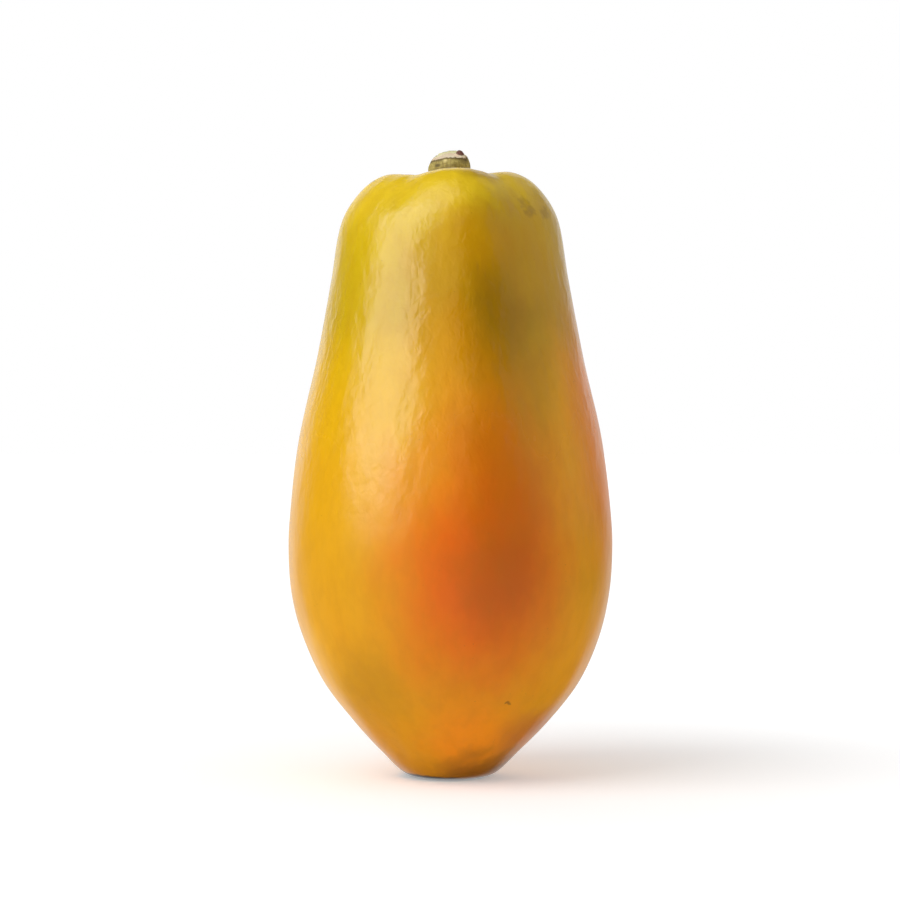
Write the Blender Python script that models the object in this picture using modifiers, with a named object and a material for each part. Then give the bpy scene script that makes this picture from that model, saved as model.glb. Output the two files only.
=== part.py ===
"""A ripe papaya that stands on its blossom end, with the cut stub of its stalk.

Lengths are in metres. +Z runs up the fruit's axis and its front faces -Y. The
origin is the centre of the small flat spot that the fruit rests on.
"""

import math

import bpy
import numpy as np

# Driving dimensions of the fruit
CREST_HEIGHT = 0.2375       # resting spot to the shoulder lobes, on average
BELLY_RADIUS = 0.0641       # the thickest ring, below the middle
BELLY_OVAL = 0.0006         # the belly is a little wider along one diagonal
FOOT_SWELL = 0.0006         # three soft swellings above the foot
SPOT_RADIUS = 0.0130        # flat spot under the blossom end
SEAT_RADIUS = 0.0090        # floor of the hollow that the stalk grows from
SEAT_HEIGHT = 0.2328

# The five shoulder lobes that the carpels make round the stalk
LOBES = 5
FRONT_LOBE = math.radians(3.0)      # azimuth of one lobe, from -Y towards +X
GROOVE_DEPTH = 0.0018       # fall of the crest between two lobes
GROOVE_PINCH = 0.0012       # loss of radius on the shoulder between two lobes
FLUTE_PINCH = 0.0005        # the same all down the neck, fading at the belly
CREST_LEAN = 0.0021         # the crest ring is higher on one side
CREST_LEAN_TOWARDS = math.radians(20.0)

# Driving dimensions of the stalk stub
STUB_FOOT_RADIUS = 0.0080
STUB_BULGE_RADIUS = 0.0082
STUB_CUT_RADIUS = 0.0070
STUB_BULGE_HEIGHT = 0.2428
STUB_CUT_HEIGHT = 0.2456    # the middle of the slanting cut
STUB_CUT_SLOPE = (0.06, 0.26)       # rise of the cut per metre of X and of Y
STUB_CUT_CROWN = 0.0020     # fall of the cut from its ridge to either side
STUB_RIB = 0.0003           # knobbly ribs round the stub
STUB_TIP = (0.0041, -0.0018)        # the torn tip of a fibre bundle on the cut
STUB_TIP_RISE = 0.0024
STUB_TIP_RADIUS = 0.0019

# A hair's breadth keeps two grown-together pieces from sharing a face
GAP = 0.0003

FRUIT_STEPS = 80
STUB_STEPS = 32
MERGE_DISTANCE = 0.00005
SHARP_ANGLE = math.radians(35.0)


def clear_scene():
    """Remove every object that the open file's scene holds."""
    for item in list(bpy.context.scene.objects):
        bpy.data.objects.remove(item, do_unlink=True)


def part_collection(name):
    """A collection for the part's pieces, linked to the scene."""
    collection = bpy.data.collections.new(name)
    bpy.context.scene.collection.children.link(collection)
    return collection


def plain_material(name, color, roughness):
    """A Principled material of one colour, with no metal in it."""
    material = bpy.data.materials.new(name)
    material.use_nodes = True
    shader = material.node_tree.nodes["Principled BSDF"]
    shader.inputs["Base Color"].default_value = (*color, 1.0)
    shader.inputs["Roughness"].default_value = roughness
    shader.inputs["Metallic"].default_value = 0.0
    return material


def smooth_outline(stations, parts):
    """Points on a cubic curve through the stations, parts of them to each gap.

    The curve's speed at a station comes from its two neighbours, and its clock
    runs with the square root of the distance between stations.
    """
    stations = np.array(stations)
    gaps = np.linalg.norm(np.diff(stations, axis=0), axis=1)
    clock = np.concatenate([[0.0], np.cumsum(np.sqrt(gaps))])
    speed = np.gradient(stations, clock, axis=0)
    share = (np.arange(parts) / parts)[None, :, None]
    span = np.diff(clock)[:, None, None]
    start, end = stations[:-1, None], stations[1:, None]
    leave, arrive = speed[:-1, None] * span, speed[1:, None] * span
    curve = (
        start * (1 + 2 * share) * (1 - share) ** 2
        + leave * share * (1 - share) ** 2
        + end * share ** 2 * (3 - 2 * share)
        + arrive * share ** 2 * (share - 1)
    )
    return np.vstack([curve.reshape(-1, 2), stations[-1:]])


def fruit_outline():
    """Radius and height of the fruit's side, from the stalk's seat to the spot."""
    shares = [
        (0.250, 0.989),        # inner wall of the hollow
        (0.376, 0.997),        # crest of the shoulder
        (0.474, 0.989),
        (0.567, 0.968),        # shoulder
        (0.665, 0.926),
        (0.731, 0.827),        # neck
        (0.824, 0.694),
        (0.936, 0.562),
        (0.990, 0.442),
        (1.000, 0.379),        # belly
        (0.985, 0.311),
        (0.930, 0.244),
        (0.792, 0.159),
        (0.605, 0.094),
        (0.430, 0.044),        # foot
        (0.284, 0.007),
    ]
    side = [(r * BELLY_RADIUS, z * CREST_HEIGHT) for r, z in shares]
    return smooth_outline([(SEAT_RADIUS, SEAT_HEIGHT), *side, (SPOT_RADIUS, 0.0)], 2)


def stub_outline():
    """Radius and height of the stub's cut and side, from the cut to its foot."""
    side = smooth_outline(
        [
            (STUB_CUT_RADIUS, STUB_CUT_HEIGHT),
            (0.95 * STUB_BULGE_RADIUS, STUB_BULGE_HEIGHT + 0.0016),
            (STUB_BULGE_RADIUS, STUB_BULGE_HEIGHT),
            (STUB_FOOT_RADIUS, SEAT_HEIGHT + GAP),
        ],
        3,
    )
    cut = [(share * STUB_CUT_RADIUS, STUB_CUT_HEIGHT) for share in (0.35, 0.5, 0.65, 0.8)]
    return [*cut, *side]


def turned_mesh(name, side, steps):
    """The closed mesh of a side outline, top to bottom, turned about Z."""
    points = [(0.0, side[0][1]), *side, (0.0, side[-1][1])]
    outline = bpy.data.meshes.new(name + "_outline")
    links = [(i, i + 1) for i in range(len(points) - 1)]
    outline.from_pydata([(r, 0.0, z) for r, z in points], links, [])
    lathe = bpy.data.objects.new(name + "_lathe", outline)
    bpy.context.scene.collection.objects.link(lathe)
    turn = lathe.modifiers.new("turn", "SCREW")
    turn.axis = "Z"
    turn.steps = turn.render_steps = steps
    turn.use_merge_vertices = True
    turn.merge_threshold = MERGE_DISTANCE
    view = bpy.context.evaluated_depsgraph_get()
    mesh = bpy.data.meshes.new_from_object(lathe.evaluated_get(view))
    mesh.name = name
    bpy.data.objects.remove(lathe)
    bpy.data.meshes.remove(outline)
    return mesh


def read_points(mesh):
    """The mesh's vertices as radius, azimuth from -Y towards +X, and height."""
    flat = np.empty(3 * len(mesh.vertices), np.float32)
    mesh.vertices.foreach_get("co", flat)
    x, y, z = flat.reshape(-1, 3).astype(float).T
    return np.hypot(x, y), np.arctan2(x, -y), z


def write_points(mesh, radius, azimuth, z):
    """Put the vertices back at these radii, azimuths and heights."""
    places = np.stack([radius * np.sin(azimuth), -radius * np.cos(azimuth), z], axis=1)
    mesh.vertices.foreach_set("co", places.astype(np.float32).ravel())
    mesh.update()


def ramp(value, low, high):
    """A smooth step from 0 at low to 1 at high."""
    share = np.clip((value - low) / (high - low), 0.0, 1.0)
    return share * share * (3 - 2 * share)


def groove(azimuth):
    """0 on a lobe's centre line and 1 at the bottom of a groove between lobes."""
    softness = 0.25
    wave = np.cos(0.5 * LOBES * (azimuth - FRONT_LOBE))
    rise = np.sqrt(wave ** 2 + softness ** 2) - softness
    return 1 - rise / (math.hypot(1.0, softness) - softness)


def form_body(mesh):
    """Take the fruit off the round: an oval belly and swellings over the foot."""
    radius, azimuth, z = read_points(mesh)
    share = z / CREST_HEIGHT
    belly = ramp(share, 0.05, 0.35) * ramp(share, 0.85, 0.45)
    foot = ramp(share, 0.02, 0.12) * ramp(share, 0.32, 0.18)
    oval = BELLY_OVAL * belly * np.cos(2 * azimuth - 1.2)
    write_points(mesh, radius + oval - FOOT_SWELL * foot * np.sin(3 * azimuth), azimuth, z)


def form_lobes(mesh):
    """Sink five grooves into the shoulder and the neck, and lean the crest."""
    radius, azimuth, z = read_points(mesh)
    sunk = groove(azimuth)
    shoulder = ramp(z, 0.86 * CREST_HEIGHT, 0.97 * CREST_HEIGHT)
    outside = ramp(radius, SEAT_RADIUS, 0.36 * BELLY_RADIUS)
    neck = ramp(z, 0.45 * CREST_HEIGHT, 0.80 * CREST_HEIGHT)
    top = shoulder * outside
    lean = CREST_LEAN * np.cos(azimuth - CREST_LEAN_TOWARDS)
    radius = radius - sunk * (GROOVE_PINCH * top + FLUTE_PINCH * neck * outside)
    z = z + top * (lean - GROOVE_DEPTH * sunk)
    write_points(mesh, radius, azimuth, z)


def form_stub(mesh):
    """Rib the stub's side, and slant its upper end like a knife's cut."""
    radius, azimuth, z = read_points(mesh)
    foot = SEAT_HEIGHT + GAP
    height = (z - foot) / (STUB_CUT_HEIGHT - foot)
    ribs = np.cos(3 * azimuth - 0.8) + 0.6 * np.cos(7 * azimuth - 1.1)
    side = ramp(radius, 0.3 * STUB_CUT_RADIUS, STUB_CUT_RADIUS)
    radius = radius + STUB_RIB * ribs * side * ramp(height, 0.1, 0.6)
    x, y = radius * np.sin(azimuth), -radius * np.cos(azimuth)
    crown = STUB_CUT_CROWN * (x / STUB_CUT_RADIUS) ** 2
    slant = STUB_CUT_SLOPE[0] * x + STUB_CUT_SLOPE[1] * y - crown
    off_tip = np.hypot(x - STUB_TIP[0], y - STUB_TIP[1]) / STUB_TIP_RADIUS
    tip = STUB_TIP_RISE * np.exp(-off_tip ** 2)
    raised = ramp(height, 0.2, 1.0)
    z = z + slant * raised + tip * ramp(height, 0.8, 1.0)
    write_points(mesh, radius, azimuth, z)


def add_piece(mesh, collection, material):
    """An object for the mesh, smooth but for its edges, in the collection."""
    mesh.shade_smooth()
    mesh.set_sharp_from_angle(angle=SHARP_ANGLE)
    mesh.materials.append(material)
    piece = bpy.data.objects.new(mesh.name, mesh)
    collection.objects.link(piece)
    return piece


def make_fruit(collection):
    """The whole fruit: one body that grew as one, with its lobed shoulder."""
    mesh = turned_mesh("papaya_fruit", fruit_outline(), FRUIT_STEPS)
    form_body(mesh)
    form_lobes(mesh)
    skin = plain_material("papaya_skin", (0.62, 0.25, 0.03), 0.42)
    return add_piece(mesh, collection, skin)


def make_stub(collection):
    """The short stub of stalk left in the hollow by the picker's knife."""
    mesh = turned_mesh("stem_stub", stub_outline(), STUB_STEPS)
    form_stub(mesh)
    bark = plain_material("dry_stalk", (0.23, 0.17, 0.06), 0.85)
    return add_piece(mesh, collection, bark)


clear_scene()
papaya = part_collection("papaya")
make_fruit(papaya)
make_stub(papaya)
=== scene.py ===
import math

import bpy
import numpy as np
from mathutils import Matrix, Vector


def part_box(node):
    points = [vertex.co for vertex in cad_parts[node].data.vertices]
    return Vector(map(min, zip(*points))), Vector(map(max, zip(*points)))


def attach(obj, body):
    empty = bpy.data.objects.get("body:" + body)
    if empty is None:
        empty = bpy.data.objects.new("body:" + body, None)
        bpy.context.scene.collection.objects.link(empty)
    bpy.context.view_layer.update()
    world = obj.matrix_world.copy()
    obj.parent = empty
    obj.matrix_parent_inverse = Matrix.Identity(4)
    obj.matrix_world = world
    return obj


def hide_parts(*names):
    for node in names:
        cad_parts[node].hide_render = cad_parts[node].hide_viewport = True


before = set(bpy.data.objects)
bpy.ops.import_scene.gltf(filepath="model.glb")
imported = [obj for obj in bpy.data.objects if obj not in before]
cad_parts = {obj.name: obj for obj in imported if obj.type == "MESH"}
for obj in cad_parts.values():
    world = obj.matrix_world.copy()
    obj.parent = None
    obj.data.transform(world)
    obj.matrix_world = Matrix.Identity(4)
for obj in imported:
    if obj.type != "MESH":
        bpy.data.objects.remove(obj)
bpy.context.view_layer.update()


# --- The fruit --------------------------------------------------------------
# One whole ripe papaya, skin, flesh and blossom scar, that grew as one piece.
# Its thin waxy skin is drawn tight over soft flesh: five lobes swell round the
# stalk, the neck is narrow, and the belly narrows to the scar it stands on.

crest_height = 0.2375           # resting spot to the shoulder lobes, on average
belly_radius = 0.0641
spot_radius = 0.0130            # small flat spot that the fruit rests on
seat_radius, seat_height = 0.0090, 0.2328       # hollow that the stalk grows from
lobe_count, front_lobe = 5, math.radians(3.0)
groove_depth = 0.0018           # fall of the crest between two lobes
groove_pinch = 0.0012           # loss of radius on the shoulder between two lobes
flute_pinch = 0.0005            # the same all down the neck
groove_softness = 0.25          # 0 would make each groove a sharp crease
crest_lean, lean_towards = 0.0021, math.radians(20.0)   # the crest is higher on one side
belly_oval = 0.0006             # the belly is a little wider along one diagonal
foot_swell = 0.0006             # three soft swellings above the foot
skin_swells = [                 # height, width, tallness, seed
    (0.00012, 0.060, 1.3, 3),
    (0.00003, 0.020, 1.4, 8),
]
fruit_rings, fruit_sides = 240, 380
outline_shares = [              # radius and height, as shares of belly and crest
    (0.250, 0.989),
    (0.376, 0.997),
    (0.474, 0.989),
    (0.567, 0.968),
    (0.665, 0.926),
    (0.731, 0.827),
    (0.824, 0.694),
    (0.936, 0.562),
    (0.990, 0.442),
    (1.000, 0.379),
    (0.985, 0.311),
    (0.930, 0.244),
    (0.792, 0.159),
    (0.605, 0.094),
    (0.430, 0.044),
    (0.284, 0.007),
]


def ramp(value, low, high):
    """A smooth step, 3s^2 - 2s^3, where s runs from 0 at low to 1 at high."""
    share = np.clip((value - low) / (high - low), 0.0, 1.0)
    return share * share * (3 - 2 * share)


def smooth_outline(stations, parts):
    """Cubic Hermite curve through the stations, parts points to each gap.

    The speed at a station is the weighted slope between its neighbours, on a
    clock that runs with the square root of the distance between stations.
    """
    stations = np.array(stations)
    gaps = np.linalg.norm(np.diff(stations, axis=0), axis=1)
    clock = np.concatenate([[0.0], np.cumsum(np.sqrt(gaps))])
    speed = np.gradient(stations, clock, axis=0)
    share = (np.arange(parts) / parts)[None, :, None]
    span = np.diff(clock)[:, None, None]
    start, end = stations[:-1, None], stations[1:, None]
    leave, arrive = speed[:-1, None] * span, speed[1:, None] * span
    curve = (
        start * (1 + 2 * share) * (1 - share) ** 2
        + leave * share * (1 - share) ** 2
        + end * share ** 2 * (3 - 2 * share)
        + arrive * share ** 2 * (share - 1)
    )
    return np.vstack([curve.reshape(-1, 2), stations[-1:]])


def evenly_spaced(curve, count):
    """The curve read again at count places, with equal lengths between them."""
    steps = np.linalg.norm(np.diff(curve, axis=0), axis=1)
    length = np.concatenate([[0.0], np.cumsum(steps)])
    places = np.linspace(0.0, length[-1], count)
    return np.stack([np.interp(places, length, side) for side in curve.T], axis=1)


def ripples(azimuth, z, girth, width, tallness, seed, count=48):
    """A random swell of about unit height that closes round the axis.

    It is a sum of cosines of n * azimuth + m * z + phase. n is a whole number
    near girth / width, and m is about 2 pi / (width * tallness) or less, so the
    swells come out that much taller than they are wide.
    """
    dice = np.random.default_rng(seed)
    total = np.zeros(np.broadcast(azimuth, z).shape)
    for _ in range(count):
        turns = round(girth / width * dice.uniform(0.5, 1.5))
        climb = 2 * math.pi / (width * tallness) * dice.uniform(-1.2, 1.2)
        total += np.cos(turns * azimuth + climb * z + dice.uniform(0, 2 * math.pi))
    return total * math.sqrt(2 / count)


def all_round(sides):
    """A row of azimuths at equal steps, from -Y towards +X and once round."""
    return np.linspace(0, 2 * math.pi, sides, endpoint=False)[None, :]


def fruit_skin(azimuth, rings):
    """The skin's points on a grid of rings, top to bottom, by azimuth.

    Each point starts at the outline's radius and height. The belly is made
    oval, three swellings go over the foot, and five grooves sink between the
    lobes: 1 - sqrt(cos^2(2.5 a) + s^2), where s is the softness, scaled to run
    from 0 on a lobe to 1 in a groove. Swells of two sizes then move the point
    along the outline's normal.
    """
    side = [(r * belly_radius, z * crest_height) for r, z in outline_shares]
    stations = [(seat_radius, seat_height), *side, (spot_radius, 0.0)]
    outline = evenly_spaced(smooth_outline(stations, 40), rings)
    along = np.gradient(outline, axis=0)
    along /= np.linalg.norm(along, axis=1, keepdims=True)
    radius, z = outline[:, :1], outline[:, 1:]
    out_r, out_z = -along[:, 1:], along[:, :1]

    share = z / crest_height
    belly = ramp(share, 0.05, 0.35) * ramp(share, 0.85, 0.45)
    foot = ramp(share, 0.02, 0.12) * ramp(share, 0.32, 0.18)
    shoulder = ramp(share, 0.86, 0.97)
    neck = ramp(share, 0.45, 0.80)
    outside = ramp(radius, seat_radius, 0.36 * belly_radius)
    top = shoulder * outside

    wave = np.cos(0.5 * lobe_count * (azimuth - front_lobe))
    rise = np.sqrt(wave ** 2 + groove_softness ** 2) - groove_softness
    sunk = 1 - rise / (math.hypot(1.0, groove_softness) - groove_softness)
    lean = crest_lean * np.cos(azimuth - lean_towards)

    girth = 2 * math.pi * belly_radius
    swell = 0
    for swell_height, width, tallness, seed in skin_swells:
        swell = swell + swell_height * ripples(azimuth, z, girth, width, tallness, seed)
    swell = ramp(share, 0.01, 0.06) * outside * swell
    radius = radius + belly_oval * belly * np.cos(2 * azimuth - 1.2)
    radius = radius - foot_swell * foot * np.sin(3 * azimuth)
    radius = radius - sunk * (groove_pinch * top + flute_pinch * neck * outside)
    z = z + top * (lean - groove_depth * sunk)
    radius, z = radius + swell * out_r, z + swell * out_z
    return np.stack([radius * np.sin(azimuth), -radius * np.cos(azimuth), z], axis=2)


def level_rings(azimuth, radii, heights):
    """Rings about the axis with these radii and heights, as grid points."""
    radii, heights = np.array(radii)[:, None], np.array(heights)[:, None]
    x, y = radii * np.sin(azimuth), -radii * np.cos(azimuth)
    return np.stack([x, y, heights + 0 * azimuth], axis=2)


def closed_skin(name, grid):
    """A closed mesh of rings, top to bottom, with a point at each pole."""
    rings, sides = grid.shape[:2]
    points = np.vstack([grid.reshape(-1, 3), grid[0].mean(axis=0), grid[-1].mean(axis=0)])
    here = np.arange(rings * sides).reshape(rings, sides)
    beside = np.roll(here, -1, axis=1)
    walls = [here[:-1], here[1:], beside[1:], beside[:-1]]
    quads = np.stack(walls, axis=2).reshape(-1, 4)
    top, bottom = rings * sides, rings * sides + 1
    lid = [(a, b, top) for a, b in zip(here[0], beside[0])]
    floor = [(b, a, bottom) for a, b in zip(here[-1], beside[-1])]
    mesh = bpy.data.meshes.new(name)
    mesh.from_pydata(points.tolist(), [], [*quads.tolist(), *lid, *floor])
    mesh.shade_smooth()
    return mesh


def fitted(points, box):
    """The points, stretched by a hair so that they just fill the box."""
    low, high = (np.array(corner) for corner in box)
    lowest = points.min(axis=(0, 1))
    size = points.max(axis=(0, 1)) - lowest
    return low + (points - lowest) / size * (high - low)


def add_object(mesh, material):
    """An object at the origin that shows the mesh in this material."""
    mesh.materials.append(material)
    made = bpy.data.objects.new(mesh.name, mesh)
    bpy.context.scene.collection.objects.link(made)
    return made


class Wire:
    """A shader socket in an expression: each operator adds its Math node."""

    def __init__(self, tree, socket=None):
        self.tree = tree
        self.socket = socket

    def node(self, kind, settings=(), inputs=(), output=0):
        """The output of a new node, once its settings and its inputs are in."""
        made = self.tree.nodes.new("ShaderNode" + kind)
        for name, value in dict(settings).items():
            if name == "stops":
                self.set_stops(made.color_ramp, value)
            else:
                setattr(made, name, value)
        for name, value in dict(inputs).items():
            if isinstance(value, Wire):
                self.tree.links.new(value.socket, made.inputs[name])
            else:
                made.inputs[name].default_value = value
        return Wire(self.tree, made.outputs[output])

    @staticmethod
    def set_stops(color_ramp, stops):
        """Give a colour ramp these (place, colour) stops."""
        while len(color_ramp.elements) < len(stops):
            color_ramp.elements.new(1.0)
        for element, (place, color) in zip(color_ramp.elements, stops):
            element.position = place
            element.color = (*color, 1.0)

    def math(self, operation, *values):
        """A Math node on these values or wires."""
        return self.node("Math", {"operation": operation}, enumerate(values))

    def __add__(self, other):
        return self.math("ADD", self, other)

    def __sub__(self, other):
        return self.math("SUBTRACT", self, other)

    def __rsub__(self, other):
        return self.math("SUBTRACT", other, self)

    def __mul__(self, other):
        return self.math("MULTIPLY", self, other)

    __radd__ = __add__
    __rmul__ = __mul__


def shader_tree(name):
    """A new material with its Principled shader, and a wire to its tree."""
    material = bpy.data.materials.new(name)
    material.use_nodes = True
    shader = material.node_tree.nodes["Principled BSDF"]
    return material, shader, Wire(material.node_tree)


def set_surface(shader, color, roughness, relief):
    """Feed the shader its colour, its roughness and its relief in metres."""
    bump = relief.node("Bump", inputs={"Height": relief, "Distance": 1.0, "Strength": 1.0})
    wires = {"Base Color": color, "Roughness": roughness, "Normal": bump}
    for name, wire in wires.items():
        wire.tree.links.new(wire.socket, shader.inputs[name])


def coordinate(place, axis):
    """The place's X, Y or Z by itself."""
    return place.node("SeparateXYZ", inputs={"Vector": place}, output=axis)


def blend_colors(factor, first, second):
    """The first colour turned into the second by the factor."""
    colors = [c if isinstance(c, Wire) else (*c, 1.0) for c in (first, second)]
    inputs = {0: factor, 6: colors[0], 7: colors[1]}
    return factor.node("Mix", {"data_type": "RGBA"}, inputs, 2)


def step(wire, low, high):
    """A smooth step from 0 where the wire is at low to 1 where it is at high."""
    inputs = {"Value": wire, "From Min": low, "From Max": high}
    return wire.node("MapRange", {"interpolation_type": "SMOOTHSTEP"}, inputs)


def around(place, middle, reach):
    """How far a place is from the middle, where reach is 1 along each axis."""
    settings = {"vector_type": "TEXTURE"}
    inputs = {"Vector": place, "Location": middle, "Scale": reach}
    local = place.node("Mapping", settings, inputs)
    return local.node("VectorMath", {"operation": "LENGTH"}, {0: local}, "Value")


def tinted(color, place, core, middle, reach, strength, tint):
    """The colour turned to the tint, by the strength, in an ellipsoid.

    The tint is whole up to the core, a share of the reach, and then fades out
    smoothly to the reach.
    """
    return blend_colors(step(around(place, middle, reach), 1.0, core) * strength, color, tint)


def stretched(place, tallness):
    """The place as a pattern sees it when it is to come out taller than wide."""
    return place.node("Mapping", inputs={"Vector": place, "Scale": (1, 1, 1 / tallness)})


def grain(place, size, detail=2.0, roughness=0.5):
    """Noise from 0 to 1 with features of about this size in metres."""
    inputs = {"Vector": place, "Scale": 1 / size, "Detail": detail, "Roughness": roughness}
    return place.node("TexNoise", inputs=inputs)


def cells(place, size, feature="F1"):
    """Distance to the middles of random cells of this size, or to their edges."""
    inputs = {"Vector": place, "Scale": 1 / size}
    return place.node("TexVoronoi", {"feature": feature}, inputs)


def drifted(place, size, reach, tallness=1.0):
    """The place moved about by noise, by up to half the reach.

    The noise has features of this size, taller than wide by the tallness.
    """
    inputs = {"Vector": stretched(place, tallness), "Scale": 1 / size, "Detail": 2.0}
    noise = place.node("TexNoise", inputs=inputs, output="Color")
    even = noise.node("VectorMath", {"operation": "SUBTRACT"}, {0: noise, 1: (0.5, 0.5, 0.5)})
    moved = {0: even, 1: reach, 2: place}
    return even.node("VectorMath", {"operation": "MULTIPLY_ADD"}, moved)


def on_skin(degrees, radius, height):
    """The point at this azimuth in degrees, this far from the axis, this high."""
    turn = math.radians(degrees)
    return (radius * math.sin(turn), -radius * math.cos(turn), height)


def ripening_color_and_painted_light(place):
    """The skin's colour: yellow ground, orange where it ripened, olive above, and a few
    patches of painted shade, painted light and a painted reflection of the floor.

    Each patch is an ellipsoid about a point of the skin, and its colour fades
    out smoothly towards the ellipsoid's edge.
    """
    drift = drifted(place, 0.045, (0.008, 0.008, 0.014))
    drift = drifted(drift, 0.011, (0.009, 0.009, 0.016), 1.8)
    drift = drifted(drift, 0.004, (0.003, 0.003, 0.005), 1.5)
    height = coordinate(drift, "Z") * (1 / crest_height)
    stops = [                   # share of the crest's height, colour
        (0.00, (0.62, 0.25, 0.003)),
        (0.04, (0.73, 0.31, 0.003)),
        (0.11, (0.75, 0.315, 0.003)),
        (0.19, (0.78, 0.33, 0.002)),
        (0.34, (0.79, 0.37, 0.002)),
        (0.51, (0.79, 0.40, 0.002)),
        (0.63, (0.76, 0.43, 0.002)),
        (0.76, (0.62, 0.395, 0.003)),
        (0.91, (0.68, 0.46, 0.005)),
        (1.00, (0.84, 0.57, 0.012)),
    ]
    color = height.node("ValToRGB", {"stops": stops}, {"Fac": height})
    patches = [                 # middle, reach, strength, colour
        (on_skin(-62, 0.052, 0.198), (0.022, 0.040, 0.040), 0.35, (0.40, 0.28, 0.004)),
        (on_skin(80, 0.060, 0.135), (0.062, 0.050, 0.085), 0.90, (0.82, 0.210, 0.002)),
        (on_skin(12, 0.040, 0.018), (0.030, 0.040, 0.024), 0.80, (0.95, 0.28, 0.001)),
        (on_skin(11, 0.062, 0.088), (0.054, 0.060, 0.077), 1.00, (0.84, 0.142, 0.000)),
        (on_skin(5, 0.054, 0.165), (0.030, 0.040, 0.055), 0.55, (0.78, 0.20, 0.001)),
        (on_skin(64, 0.050, 0.205), (0.050, 0.045, 0.060), 0.55, (0.38, 0.190, 0.006)),
        (on_skin(22, 0.061, 0.118), (0.028, 0.040, 0.085), 0.70, (0.53, 0.120, 0.001)),
        (on_skin(15, 0.063, 0.083), (0.024, 0.030, 0.026), 0.35, (0.42, 0.09, 0.001)),
        (on_skin(25, 0.050, 0.192), (0.029, 0.040, 0.052), 0.95, (0.30, 0.150, 0.001)),
        (on_skin(42, 0.050, 0.206), (0.020, 0.030, 0.034), 0.45, (0.64, 0.340, 0.006)),
        (on_skin(5, 0.046, 0.212), (0.014, 0.030, 0.026), 0.30, (0.82, 0.370, 0.001)),
        (on_skin(15, 0.043, 0.211), (0.019, 0.030, 0.023), 0.70, (0.54, 0.260, 0.001)),
        (on_skin(28, 0.027, 0.235), (0.011, 0.012, 0.007), 0.60, (0.36, 0.200, 0.002)),
        (on_skin(-11, 0.046, 0.204), (0.012, 0.030, 0.020), 0.35, (0.58, 0.220, 0.002)),
        (on_skin(-13, 0.052, 0.165), (0.024, 0.030, 0.030), 0.30, (0.72, 0.430, 0.002)),
        # painted shade: a darker patch on the upper neck that tones down the lamps' sheen
        # there
        (on_skin(-14, 0.050, 0.190), (0.026, 0.030, 0.034), 0.35, (0.42, 0.240, 0.002)),
        # painted light: a lighter patch on the lower left edge, where the soft box at the left
        # falls
        (on_skin(-68, 0.050, 0.048), (0.026, 0.030, 0.050), 0.60, (0.98, 0.520, 0.020)),
        (on_skin(66, 0.055, 0.056), (0.020, 0.030, 0.032), 0.40, (0.98, 0.380, 0.003)),
        (on_skin(33, 0.056, 0.155), (0.018, 0.030, 0.026), 0.40, (0.34, 0.160, 0.001)),
        (on_skin(-38, 0.050, 0.040), (0.022, 0.040, 0.025), 0.45, (0.50, 0.25, 0.006)),
        # painted reflection: a pinkish grey patch low on the right, the pale floor's
        # reflection
        (on_skin(58, 0.040, 0.018), (0.025, 0.030, 0.022), 0.70, (0.56, 0.16, 0.025)),
        # painted shade: the dark underside of the foot on the right, next to the floor
        (on_skin(44, 0.020, 0.002), (0.027, 0.034, 0.015), 0.62, (0.16, 0.04, 0.006)),
        (on_skin(170, 0.060, 0.085), (0.070, 0.050, 0.085), 0.85, (0.84, 0.20, 0.002)),
        (on_skin(-135, 0.060, 0.120), (0.030, 0.030, 0.070), 0.45, (0.86, 0.27, 0.002)),
        (on_skin(118, 0.062, 0.118), (0.044, 0.044, 0.070), 0.50, (0.84, 0.25, 0.002)),
        (on_skin(104, 0.052, 0.168), (0.022, 0.024, 0.040), 0.40, (0.80, 0.28, 0.002)),
        (on_skin(135, 0.050, 0.205), (0.040, 0.034, 0.070), 0.60, (0.36, 0.23, 0.004)),
        (on_skin(-160, 0.050, 0.200), (0.026, 0.026, 0.070), 0.45, (0.40, 0.28, 0.004)),
        (on_skin(-120, 0.060, 0.060), (0.034, 0.030, 0.050), 0.30, (0.50, 0.28, 0.006)),
    ]
    for patch in patches:
        color = tinted(color, drift, 0.2, *patch)
    return color


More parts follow.
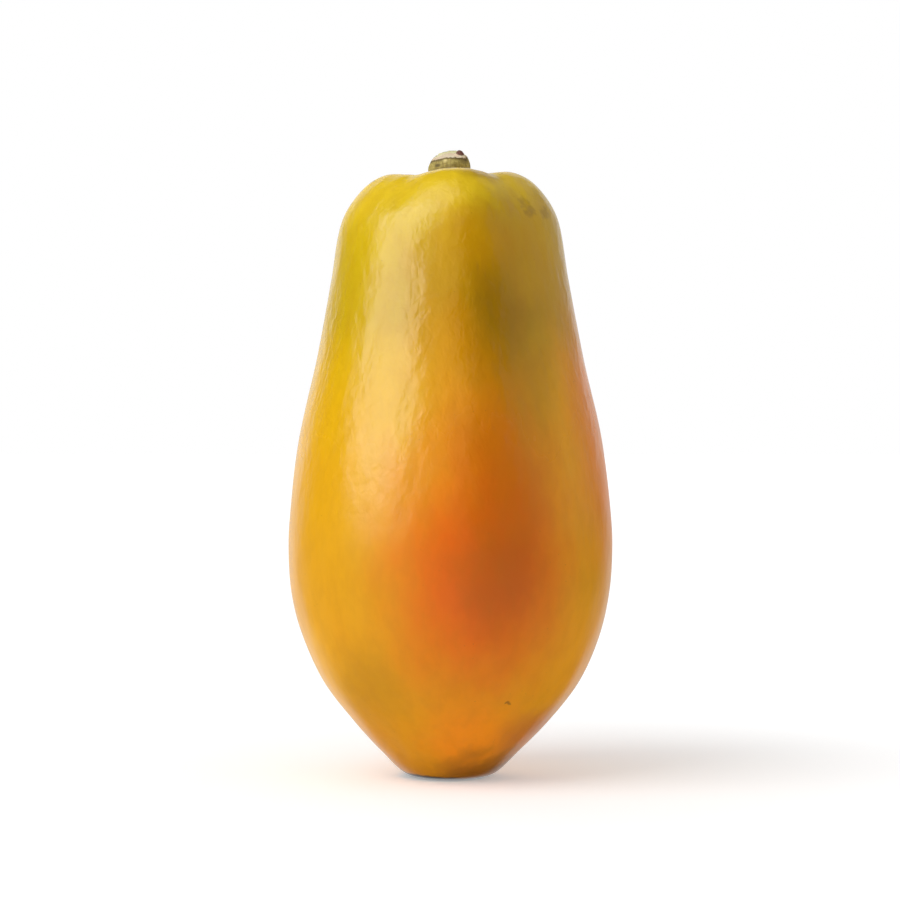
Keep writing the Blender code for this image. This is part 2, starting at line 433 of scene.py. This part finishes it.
def skin_marks_and_painted_shade(place, color):
    """The colour with mottling, pores, blotches, specks, a collar darkened by painted shade in
    the hollow round the stub, and the scar, which runs out over the foot as painted contact
    shade.
    """
    mottle = step(grain(stretched(place, 2.2), 0.0055, 3.0, 0.6), 0.35, 0.70)
    color = blend_colors(mottle * 0.12, color, (0.44, 0.16, 0.002))
    sown = step(grain(place, 0.020), 0.50, 0.62)
    pores = step(cells(place, 0.0034), 0.10, 0.03) * sown
    color = blend_colors(pores * 0.35, color, (0.22, 0.10, 0.01))
    ragged = drifted(place, 0.0030, (0.0050, 0.0050, 0.0040))
    specks = [                  # middle, reach, strength, the three largest being blotches
        (on_skin(45, 0.041, 0.226), 0.0036, 0.36),
        (on_skin(48, 0.042, 0.222), 0.0032, 0.36),
        (on_skin(60, 0.043, 0.222), 0.0036, 0.30),
        (on_skin(-11, 0.054, 0.180), 0.0011, 0.55),
        (on_skin(-8, 0.051, 0.197), 0.0009, 0.45),
        (on_skin(27, 0.049, 0.033), 0.0013, 0.60),
        (on_skin(150, 0.064, 0.100), 0.0016, 0.60),
        (on_skin(-130, 0.062, 0.130), 0.0014, 0.55),
        (on_skin(-165, 0.051, 0.200), 0.0020, 0.60),
    ]
    for middle, reach, strength in specks:
        size = (reach, 0.006, reach)
        color = tinted(color, ragged, 0.4, middle, size, strength, (0.13, 0.055, 0.012))
    # a darker collar round the stalk, with painted shade in the hollow round the stub
    collar_and_hollow_shade = (0, 0, seat_height), (0.0125, 0.0125, 0.006), 0.8, (0.30, 0.22, 0.03)
    color = tinted(color, ragged, 0.6, *collar_and_hollow_shade)
    rough_edge = drifted(place, 0.006, (0.006, 0.006, 0.003))
    # the scar's dark reaches out over the foot's rim as painted contact shade
    scar_and_contact_shade = step(around(rough_edge, (-0.004, 0, 0), (0.0215, 0.0215, 0.0050)), 1.0, 0.80)
    return blend_colors(scar_and_contact_shade, color, (0.035, 0.017, 0.008))


def skin_relief(place):
    """Heights in metres: long shallow puckers, a faint crackle and fine pores."""
    tall = stretched(drifted(place, 0.008, (0.003, 0.003, 0.003)), 1.6)
    puckers = grain(tall, 0.0044, 2.0, 0.45)
    crackle = step(cells(tall, 0.0042, "DISTANCE_TO_EDGE"), 0.0, 0.16)
    pores = grain(place, 0.0009, 1.0)
    worn = step(grain(place, 0.030), 0.40, 0.60) * 0.8 + 0.2
    shrunk = step(coordinate(place, "Z"), 0.075, 0.150) * 0.8 + 0.2
    return (puckers * 0.00044 + worn * crackle * 0.000030) * shrunk + pores * 0.000010


def papaya_skin():
    """Thin satin skin over soft flesh, with the colours it ripened to and a few patches of
    painted light, shade and reflection.
    """
    material, shader, start = shader_tree("papaya_skin")
    place = start.node("TexCoord", output="Object")
    color = skin_marks_and_painted_shade(place, ripening_color_and_painted_light(place))
    wax = grain(stretched(place, 2.0), 0.012, 3.0)
    belly = step(coordinate(place, "Z"), 0.17, 0.10)
    set_surface(shader, color, wax * 0.10 + belly * 0.07 + 0.19, skin_relief(place))
    shader.inputs["IOR"].default_value = 1.40
    return material


fruit_azimuths = all_round(fruit_sides)
seat_radii = [0.0010, 0.0040, 0.0070, 0.0082]   # flat floor of the hollow, under the stub
scar_radii = [0.0105, 0.0080, 0.0062, 0.0055, 0.0048, 0.0036, 0.0022, 0.0010]
scar_heights = [0.0, 0.0, 0.0, 0.0004, 0.0011, 0.0013, 0.0010, 0.0009]      # a shallow dimple
fruit_grid = np.vstack(
    [
        level_rings(fruit_azimuths, seat_radii, [seat_height] * len(seat_radii)),
        fruit_skin(fruit_azimuths, fruit_rings),
        level_rings(fruit_azimuths, scar_radii, scar_heights),
    ]
)
fruit_mesh = closed_skin("papaya_skin", fitted(fruit_grid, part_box("papaya_fruit")))
fruit = add_object(fruit_mesh, papaya_skin())
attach(fruit, "root")
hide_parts("papaya_fruit")


# --- The stalk stub ---------------------------------------------------------
# The short stub of woody stalk that the fruit hung from, still grown fast in
# its hollow and dried to khaki. The picker's knife left the pale slanting cut,
# and one torn bundle of fibres stands up on it.

cut_radius, cut_height = 0.0070, 0.2456         # the middle of the slanting cut
cut_slope_x, cut_slope_y = 0.06, 0.26           # rise of the cut per metre of X and of Y
cut_crown = 0.0020                              # fall from the cut's ridge to either side
bulge_radius, bulge_height = 0.0082, 0.2428
foot_radius, foot_height = 0.0080, 0.2331
rib_rise, fibre_rise, knuckle_rise = 0.0003, 0.00009, 0.0005
knuckle_azimuth, knuckle_height = math.radians(-62), 0.2424
knuckle_width, knuckle_tallness = 0.42, 0.0011  # in radians, and in metres
lip_rise, lip_width = 0.00026, 0.0006           # thin edge of bark round the cut
torn_tip = (0.0041, -0.0018)                    # X and Y of the torn bundle of fibres
torn_rise, torn_radius = 0.0024, 0.0019
cut_rings, bark_rings, stub_sides = 34, 64, 180


def stub_surface(azimuth):
    """The stub's points from the middle of the cut to its foot, by azimuth.

    The cut is a plane that slants by its two slopes, less the crown times
    (x / radius)^2. The torn tip is a lump exp(-(d / r)^3), the bark stands up
    as a thin ragged lip exp(-d^2) round the cut, and the side has ribs that are
    cosines of 3 and 7 times the azimuth, fine fibres and one round knuckle.
    """
    flat = np.linspace(0.04, 0.97, cut_rings) * cut_radius
    cut = np.stack([flat, np.full(cut_rings, cut_height)], axis=1)
    side = [
        (cut_radius, cut_height),
        (0.95 * bulge_radius, bulge_height + 0.0016),
        (bulge_radius, bulge_height),
        (foot_radius, foot_height),
    ]
    outline = np.vstack([cut, evenly_spaced(smooth_outline(side, 20), bark_rings)])
    radius, z = outline[:, :1], outline[:, 1:]
    height = (z - foot_height) / (cut_height - foot_height)
    girth = 2 * math.pi * bulge_radius

    rim = ramp(radius, 0.3 * cut_radius, cut_radius)
    ribs = np.cos(3 * azimuth - 0.8) + 0.6 * np.cos(7 * azimuth - 1.1)
    fibres = ripples(azimuth, z, girth, 0.0017, 6.0, seed=5)
    wrap = ramp(height, 0.1, 0.6)
    turned = (azimuth - knuckle_azimuth) / knuckle_width
    knuckle = np.exp(-turned ** 2 - ((z - knuckle_height) / knuckle_tallness) ** 2)
    bark = rib_rise * ribs * wrap + fibre_rise * fibres + knuckle_rise * knuckle
    radius = radius + rim * bark

    x, y = radius * np.sin(azimuth), -radius * np.cos(azimuth)
    slant = cut_slope_x * x + cut_slope_y * y - cut_crown * (x / cut_radius) ** 2
    raised = ramp(height, 0.2, 1.0)
    near_top = ramp(height, 0.8, 1.0)
    off_tip = np.hypot(x - torn_tip[0], y - torn_tip[1])
    tip = torn_rise * np.exp(-(off_tip / torn_radius) ** 3)
    lip = np.exp(-((radius - cut_radius) / lip_width) ** 2)
    ragged = 1 + 0.5 * ripples(azimuth, 0 * z, girth, 0.0024, 1.0, seed=12, count=12)
    z = z + slant * raised + near_top * (tip + lip_rise * lip * ragged)
    return np.stack([radius * np.sin(azimuth), -radius * np.cos(azimuth), z], axis=2)


def dry_stalk():
    """Khaki bark with long fibres and painted shade on its right side and under the knuckle, a
    cream cut with brown pores, a dark tip.

    The attribute cut is 1 on the cut and 0 on the bark.
    """
    material, shader, start = shader_tree("dry_stalk")
    place = start.node("TexCoord", output="Object")
    cut = start.node("Attribute", {"attribute_name": "cut"}, output="Fac")
    long = stretched(drifted(place, 0.004, (0.001, 0.001, 0.001)), 7.0)
    ragged = drifted(place, 0.0012, (0.0010, 0.0010, 0.0010))
    fibres = grain(long, 0.0008, 3.0, 0.6)
    weather = grain(place, 0.0035, 2.0)
    bark = blend_colors(step(fibres, 0.25, 0.75), (0.33, 0.25, 0.05), (0.58, 0.48, 0.13))
    band = step(grain(stretched(place, 0.22), 0.0022, 2.0), 0.42, 0.62)
    bark = blend_colors(band * 0.45, bark, (0.27, 0.20, 0.03))
    bark = blend_colors(step(weather, 0.50, 0.72) * 0.6, bark, (0.20, 0.14, 0.025))
    patches = [                 # middle, reach, strength, colour
        ((-0.0021, -0.0080, 0.2428), (0.0015, 0.003, 0.0014), 0.7, (0.80, 0.68, 0.28)),
        # painted shade: darker bark on the stub's right side, away from the soft box
        ((0.0060, -0.0060, 0.2430), (0.0032, 0.005, 0.0024), 0.6, (0.19, 0.13, 0.02)),
        # painted shade: a dark hollow under the knuckle
        ((-0.0050, -0.0066, 0.2408), (0.0020, 0.003, 0.0011), 0.8, (0.10, 0.065, 0.008)),
    ]
    for patch in patches:
        bark = tinted(bark, place, 0.3, *patch)

    pith = blend_colors(step(weather, 0.35, 0.65), (0.80, 0.68, 0.46), (0.76, 0.56, 0.38))
    rear = step(coordinate(place, "Y"), 0.0005, 0.0050)
    pith = blend_colors(rear * 0.8, pith, (0.74, 0.72, 0.36))
    pores = step(cells(place, 0.0007), 0.45, 0.15)
    pith = blend_colors(pores * 0.45, pith, (0.34, 0.22, 0.10))
    color = blend_colors(step(cut, 0.55, 0.85), bark, pith)
    frayed = cut + (weather - 0.5) * 0.8
    singed = step(frayed, 0.10, 0.40) * step(frayed, 0.90, 0.60)
    color = blend_colors(singed * 0.85, color, (0.13, 0.085, 0.022))
    tip = around(ragged, (torn_tip[0], torn_tip[1] - 0.0006, 0.2464), (0.0021, 0.0025, 0.0024))
    color = blend_colors(step(tip, 1.0, 0.70), color, (0.14, 0.045, 0.026))
    crown = (*torn_tip, 0.2473), (0.0014, 0.0014, 0.0006), 0.7, (0.30, 0.21, 0.22)
    color = tinted(color, place, 0.4, *crown)

    relief = fibres * 0.00022 + grain(place, 0.0006, 2.0) * 0.00008
    set_surface(shader, color, weather * 0.2 + 0.68, relief)
    shader.inputs["IOR"].default_value = 1.45
    return material


stub_grid = stub_surface(all_round(stub_sides))
stub_mesh = closed_skin("dry_stalk", fitted(stub_grid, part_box("stem_stub")))
ring_numbers = np.arange(cut_rings + bark_rings)
cut_share = np.repeat(ramp(ring_numbers, cut_rings + 7, cut_rings - 4), stub_sides)
cut_mark = stub_mesh.attributes.new("cut", "FLOAT", "POINT")
pole_shares = [1.0, 0.0]        # the cut's middle, and the foot's
cut_mark.data.foreach_set("value", np.append(cut_share, pole_shares).astype(np.float32))
stub = add_object(stub_mesh, dry_stalk())
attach(stub, "root")
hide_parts("stem_stub")


# --- The studio -------------------------------------------------------------
# A plain pale floor that runs out to white, a large soft box at the upper left,
# a white board at the right and an even ceiling. Lamps named sheen only show
# as the soft gloss on the wax, and the others only light the fruit.

floor_half = 4.0
floor_pale_to, floor_white_from = 0.08, 0.30    # distances from the fruit's axis
studio_middle = Vector((0, 0, 0.12))            # the lamps are turned to this point
lamps = [                       # name, azimuth, elevation, distance, width, height, radiance
    ("key", -56, 34, 1.1, 1.00, 0.95, 2.65),
    ("board", 90, 22, 1.0, 1.70, 0.80, 0.42),
    ("overhead", -40, 66, 1.1, 0.9, 0.9, 0.85),
    ("ceiling", 0, 90, 1.3, 4.0, 4.0, 0.42),
]
sheen_lamps = [
    ("key_sheen", -55.5, 12, 1.0, 0.75, 0.22, 5.6),
    ("key_top_sheen", -55.5, 36, 1.0, 0.75, 0.64, 4.0),
    ("spill_sheen", -40, 32, 1.2, 2.60, 1.00, 0.80),
    ("board_sheen", 92, 22, 0.9, 1.50, 0.72, 0.55),
    ("overhead_sheen", -40, 66, 1.0, 0.72, 0.50, 2.8),
    ("rear_sheen", 122, 50, 1.0, 0.70, 0.40, 0.5),
]


def add_floor():
    """A wide pale floor that brightens to plain white away from the fruit."""
    half = floor_half
    mesh = bpy.data.meshes.new("floor")
    corners = [(-half, -half, 0), (half, -half, 0), (half, half, 0), (-half, half, 0)]
    mesh.from_pydata(corners, [], [(0, 1, 2, 3)])
    material, shader, start = shader_tree("pale_floor")
    tree = material.node_tree
    place = start.node("TexCoord", output="Object")
    far = step(around(place, (0, 0, 0), (1, 1, 1)), floor_pale_to, floor_white_from)
    shader.inputs["Base Color"].default_value = (0.86, 0.85, 0.84, 1.0)
    shader.inputs["Roughness"].default_value = 1.0
    shader.inputs["Specular IOR Level"].default_value = 0.0
    shader.inputs["Emission Color"].default_value = (1.0, 1.0, 1.0, 1.0)
    shader.inputs["Emission Strength"].default_value = 0.32
    white = start.node("Emission", inputs={"Color": (1, 1, 1, 1), "Strength": 1.1})
    mixed = far.node("MixShader", inputs={0: far, 2: white})
    tree.links.new(shader.outputs[0], mixed.socket.node.inputs[1])
    tree.links.new(mixed.socket, tree.nodes["Material Output"].inputs["Surface"])
    floor = add_object(mesh, material)
    floor.visible_glossy = False


def aim(item, target):
    """Turn an object so that its -Z axis points at the target."""
    item.rotation_euler = (Vector(target) - item.location).to_track_quat("-Z", "Y").to_euler()


def add_soft_box(name, azimuth, elevation, distance, width, height, radiance, sheen=False):
    """A rectangular lamp turned to the fruit, which only lights or only adds sheen."""
    azimuth, elevation = math.radians(azimuth), math.radians(elevation)
    light = bpy.data.lights.new(name, "AREA")
    light.shape = "RECTANGLE"
    light.size, light.size_y = width, height
    light.energy = radiance * width * height * math.pi
    box = bpy.data.objects.new(name, light)
    bpy.context.scene.collection.objects.link(box)
    level = distance * math.cos(elevation)
    box.location = studio_middle + Vector(
        (level * math.sin(azimuth), -level * math.cos(azimuth), distance * math.sin(elevation))
    )
    aim(box, studio_middle)
    box.visible_diffuse = not sheen
    box.visible_glossy = sheen


def add_world():
    """A world that looks white, and lights as a wall behind that bends in at the left."""
    world = bpy.data.worlds.new("studio")
    bpy.context.scene.world = world
    world.use_nodes = True
    tree = world.node_tree
    start = Wire(tree)
    way = start.node("TexCoord", output="Generated")
    side, back = coordinate(way, "X"), coordinate(way, "Y")
    glow = step(back, 0.65, 0.85) * 0.9
    glow = glow + step(side, -0.15, -0.45) * step(back, 0.3, 0.7) * 0.3
    seen = start.node("LightPath", output="Is Camera Ray")
    background = tree.nodes["Background"]
    background.inputs["Color"].default_value = (1, 1, 1, 1)
    strength = glow + seen * (1.0 - glow)
    tree.links.new(strength.socket, background.inputs["Strength"])


add_floor()
add_world()
for lamp in lamps:
    add_soft_box(*lamp)
for lamp in sheen_lamps:
    add_soft_box(*lamp, sheen=True)

camera_data = bpy.data.cameras.new("camera")
camera_data.lens = 121.6
camera_data.sensor_width = 36.0
camera = bpy.data.objects.new("camera", camera_data)
bpy.context.scene.collection.objects.link(camera)
camera.location = (0.0, -1.2, 0.165)
aim(camera, (0.0, 0.0, 0.129))
bpy.context.scene.camera = camera
bpy.context.scene.view_settings.view_transform = "Standard"
